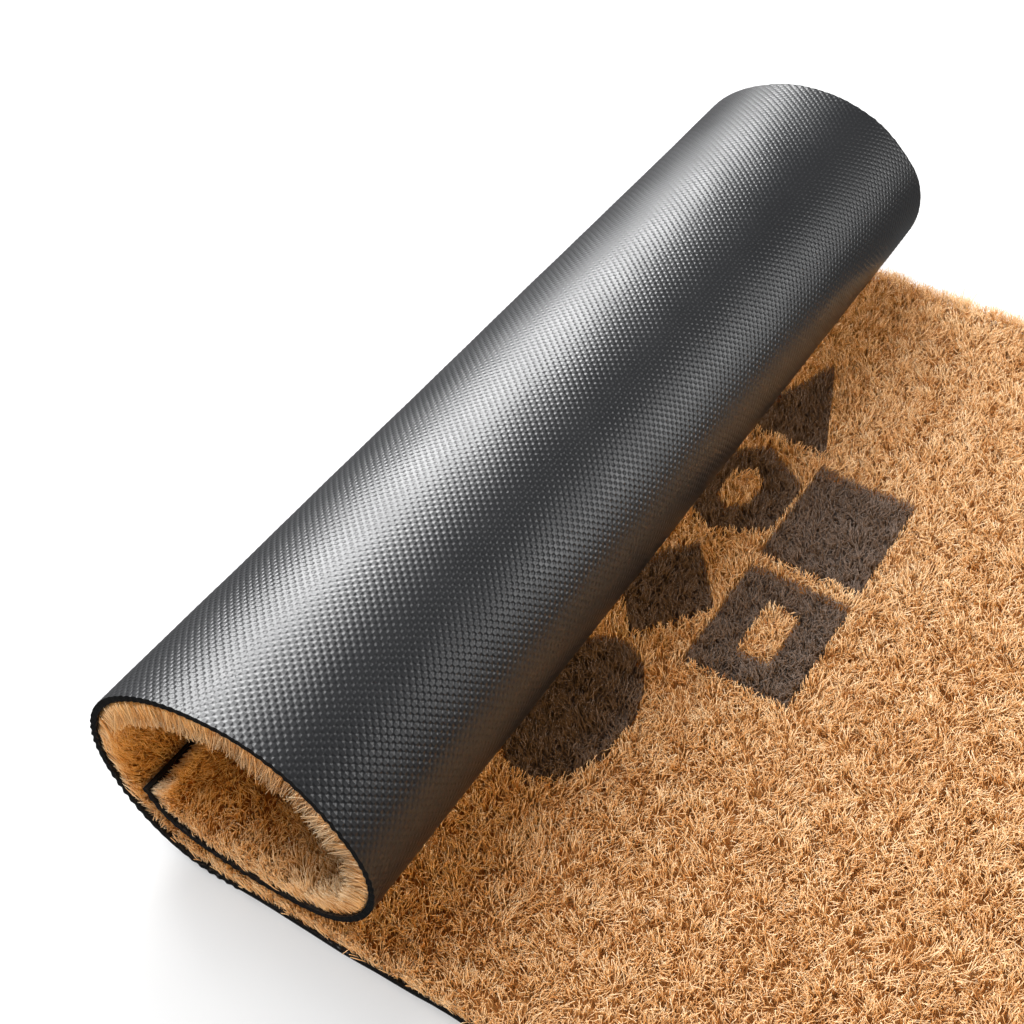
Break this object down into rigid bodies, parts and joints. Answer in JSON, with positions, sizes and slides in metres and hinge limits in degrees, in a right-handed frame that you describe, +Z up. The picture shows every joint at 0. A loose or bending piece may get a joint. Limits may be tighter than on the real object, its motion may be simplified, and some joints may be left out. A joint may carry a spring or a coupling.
{
  "type": "door mat",
  "caption": "Rectangular coir door mat with a black rubber backing, half rolled up over itself, pile inwards, that unrolls to lie flat.",
  "frame": {"origin": "bottom centre of the box around the half-rolled mat, on the floor", "axes": "+X along the mat's length from the roll to the flat end, +Y across the mat's width along the roll, +Z up"},
  "size_m": [0.4238, 0.45, 0.0984],
  "materials": {
    "backing": "semi-gloss black with a fine raised weave",
    "coir": "matt natural coconut fibre, partly printed dark brown"
  },
  "bodies": {
    "flat_section": {"backing_flat": "backing", "pile_under_roll": "coir", "pile_flat": "coir"},
    "strip_01": {"backing_strip_01": "backing", "pile_strip_01": "coir"},
    "strip_02": {"backing_strip_02": "backing", "pile_strip_02": "coir"},
    "strip_03": {"backing_strip_03": "backing", "pile_strip_03": "coir"},
    "strip_04": {"backing_strip_04": "backing", "pile_strip_04": "coir"},
    "strip_05": {"backing_strip_05": "backing", "pile_strip_05": "coir"},
    "strip_06": {"backing_strip_06": "backing", "pile_strip_06": "coir"},
    "strip_07": {"backing_strip_07": "backing", "pile_strip_07": "coir"},
    "strip_08": {"backing_strip_08": "backing", "pile_strip_08": "coir"},
    "strip_09": {"backing_strip_09": "backing", "pile_strip_09": "coir"},
    "strip_10": {"backing_strip_10": "backing", "pile_strip_10": "coir"},
    "strip_11": {"backing_strip_11": "backing", "pile_strip_11": "coir"},
    "strip_12": {"backing_strip_12": "backing", "pile_strip_12": "coir"},
    "strip_13": {"backing_strip_13": "backing", "pile_strip_13": "coir"},
    "strip_14": {"backing_strip_14": "backing", "pile_strip_14": "coir"},
    "strip_15": {"backing_strip_15": "backing", "pile_strip_15": "coir"},
    "strip_16": {"backing_strip_16": "backing", "pile_strip_16": "coir"},
    "strip_17": {"backing_strip_17": "backing", "pile_strip_17": "coir"},
    "strip_18": {"backing_strip_18": "backing", "pile_strip_18": "coir"},
    "strip_19": {"backing_strip_19": "backing", "pile_strip_19": "coir"},
    "strip_20": {"backing_strip_20": "backing", "pile_strip_20": "coir"},
    "strip_21": {"backing_strip_21": "backing", "pile_strip_21": "coir"},
    "strip_22": {"backing_strip_22": "backing", "pile_strip_22": "coir"},
    "strip_23": {"backing_strip_23": "backing", "pile_strip_23": "coir"},
    "strip_24": {"backing_strip_24": "backing", "pile_strip_24": "coir"},
    "strip_25": {"backing_strip_25": "backing", "pile_strip_25": "coir"}
  },
  "joints": [
    {"name": "unroll", "type": "hinge", "parent": "flat_section", "child": "strip_01", "pos_m": [-0.16139, 0, 0], "axis": [0, -1, 0], "range_deg": [0, 8.75], "deforming": ["pile_under_roll", "pile_strip_01", "pile_strip_02"]},
    {"name": "bend_02", "type": "hinge", "parent": "strip_01", "child": "strip_02", "pos_m": [-0.17672, 0, 0.00236], "axis": [0, -1, 0], "range_deg": [0, 17.5]},
    {"name": "bend_03", "type": "hinge", "parent": "strip_02", "child": "strip_03", "pos_m": [-0.19064, 0, 0.00922], "axis": [0, -1, 0], "range_deg": [0, 17.5]},
    {"name": "bend_04", "type": "hinge", "parent": "strip_03", "child": "strip_04", "pos_m": [-0.20185, 0, 0.01995], "axis": [0, -1, 0], "range_deg": [0, 17.5]},
    {"name": "bend_05", "type": "hinge", "parent": "strip_04", "child": "strip_05", "pos_m": [-0.20931, 0, 0.03356], "axis": [0, -1, 0], "range_deg": [0, 17.38]},
    {"name": "bend_06", "type": "hinge", "parent": "strip_05", "child": "strip_06", "pos_m": [-0.21185, 0, 0.0462], "axis": [0, -1, 0], "range_deg": [0, 17.25]},
    {"name": "bend_07", "type": "hinge", "parent": "strip_06", "child": "strip_07", "pos_m": [-0.21053, 0, 0.05903], "axis": [0, -1, 0], "range_deg": [0, 17.25]},
    {"name": "bend_08", "type": "hinge", "parent": "strip_07", "child": "strip_08", "pos_m": [-0.20547, 0, 0.07089], "axis": [0, -1, 0], "range_deg": [0, 17.25]},
    {"name": "bend_09", "type": "hinge", "parent": "strip_08", "child": "strip_09", "pos_m": [-0.19711, 0, 0.08072], "axis": [0, -1, 0], "range_deg": [0, 16.63]},
    {"name": "bend_10", "type": "hinge", "parent": "strip_09", "child": "strip_10", "pos_m": [-0.18031, 0, 0.09163], "axis": [0, -1, 0], "range_deg": [0, 16]},
    {"name": "bend_11", "type": "hinge", "parent": "strip_10", "child": "strip_11", "pos_m": [-0.16114, 0, 0.09749], "axis": [0, -1, 0], "range_deg": [0, 16]},
    {"name": "bend_12", "type": "hinge", "parent": "strip_11", "child": "strip_12", "pos_m": [-0.1411, 0, 0.09784], "axis": [0, -1, 0], "range_deg": [0, 15.33]},
    {"name": "bend_13", "type": "hinge", "parent": "strip_12", "child": "strip_13", "pos_m": [-0.12527, 0, 0.0938], "axis": [0, -1, 0], "range_deg": [0, 14.67]},
    {"name": "bend_14", "type": "hinge", "parent": "strip_13", "child": "strip_14", "pos_m": [-0.11098, 0, 0.08588], "axis": [0, -1, 0], "range_deg": [0, 14.67]},
    {"name": "bend_15", "type": "hinge", "parent": "strip_14", "child": "strip_15", "pos_m": [-0.09916, 0, 0.07459], "axis": [0, -1, 0], "range_deg": [0, 16.75]},
    {"name": "bend_16", "type": "hinge", "parent": "strip_15", "child": "strip_16", "pos_m": [-0.09335, 0, 0.06435], "axis": [0, -1, 0], "range_deg": [0, 18.83]},
    {"name": "bend_17", "type": "hinge", "parent": "strip_16", "child": "strip_17", "pos_m": [-0.09115, 0, 0.05278], "axis": [0, -1, 0], "range_deg": [0, 18.83]},
    {"name": "bend_18", "type": "hinge", "parent": "strip_17", "child": "strip_18", "pos_m": [-0.09281, 0, 0.04111], "axis": [0, -1, 0], "range_deg": [0, 18.83]},
    {"name": "bend_19", "type": "hinge", "parent": "strip_18", "child": "strip_19", "pos_m": [-0.09814, 0, 0.03061], "axis": [0, -1, 0], "range_deg": [0, 18.83]},
    {"name": "bend_20", "type": "hinge", "parent": "strip_19", "child": "strip_20", "pos_m": [-0.10658, 0, 0.02239], "axis": [0, -1, 0], "range_deg": [0, 18.83]},
    {"name": "bend_21", "type": "hinge", "parent": "strip_20", "child": "strip_21", "pos_m": [-0.11722, 0, 0.01733], "axis": [0, -1, 0], "range_deg": [0, 15.25]},
    {"name": "bend_22", "type": "hinge", "parent": "strip_21", "child": "strip_22", "pos_m": [-0.13703, 0, 0.01378], "axis": [0, -1, 0], "range_deg": [0, 11.67]},
    {"name": "bend_23", "type": "hinge", "parent": "strip_22", "child": "strip_23", "pos_m": [-0.15714, 0, 0.01431], "axis": [0, -1, 0], "range_deg": [0, 11.67]},
    {"name": "bend_24", "type": "hinge", "parent": "strip_23", "child": "strip_24", "pos_m": [-0.17674, 0, 0.01889], "axis": [0, -1, 0], "range_deg": [0, 17.33]},
    {"name": "bend_25", "type": "hinge", "parent": "strip_24", "child": "strip_25", "pos_m": [-0.18601, 0, 0.02436], "axis": [0, -1, 0], "range_deg": [0, 23]}
  ],
  "couplings": [
    {"joint": "bend_02", "follows": "unroll", "ratio": 2},
    {"joint": "bend_03", "follows": "unroll", "ratio": 2},
    {"joint": "bend_04", "follows": "unroll", "ratio": 2},
    {"joint": "bend_05", "follows": "unroll", "ratio": 1.9857},
    {"joint": "bend_06", "follows": "unroll", "ratio": 1.9714},
    {"joint": "bend_07", "follows": "unroll", "ratio": 1.9714},
    {"joint": "bend_08", "follows": "unroll", "ratio": 1.9714},
    {"joint": "bend_09", "follows": "unroll", "ratio": 1.9},
    {"joint": "bend_10", "follows": "unroll", "ratio": 1.8286},
    {"joint": "bend_11", "follows": "unroll", "ratio": 1.8286},
    {"joint": "bend_12", "follows": "unroll", "ratio": 1.7524},
    {"joint": "bend_13", "follows": "unroll", "ratio": 1.6762},
    {"joint": "bend_14", "follows": "unroll", "ratio": 1.6762},
    {"joint": "bend_15", "follows": "unroll", "ratio": 1.9143},
    {"joint": "bend_16", "follows": "unroll", "ratio": 2.1524},
    {"joint": "bend_17", "follows": "unroll", "ratio": 2.1524},
    {"joint": "bend_18", "follows": "unroll", "ratio": 2.1524},
    {"joint": "bend_19", "follows": "unroll", "ratio": 2.1524},
    {"joint": "bend_20", "follows": "unroll", "ratio": 2.1524},
    {"joint": "bend_21", "follows": "unroll", "ratio": 1.7429},
    {"joint": "bend_22", "follows": "unroll", "ratio": 1.3333},
    {"joint": "bend_23", "follows": "unroll", "ratio": 1.3333},
    {"joint": "bend_24", "follows": "unroll", "ratio": 1.981},
    {"joint": "bend_25", "follows": "unroll", "ratio": 2.6286}
  ]
}
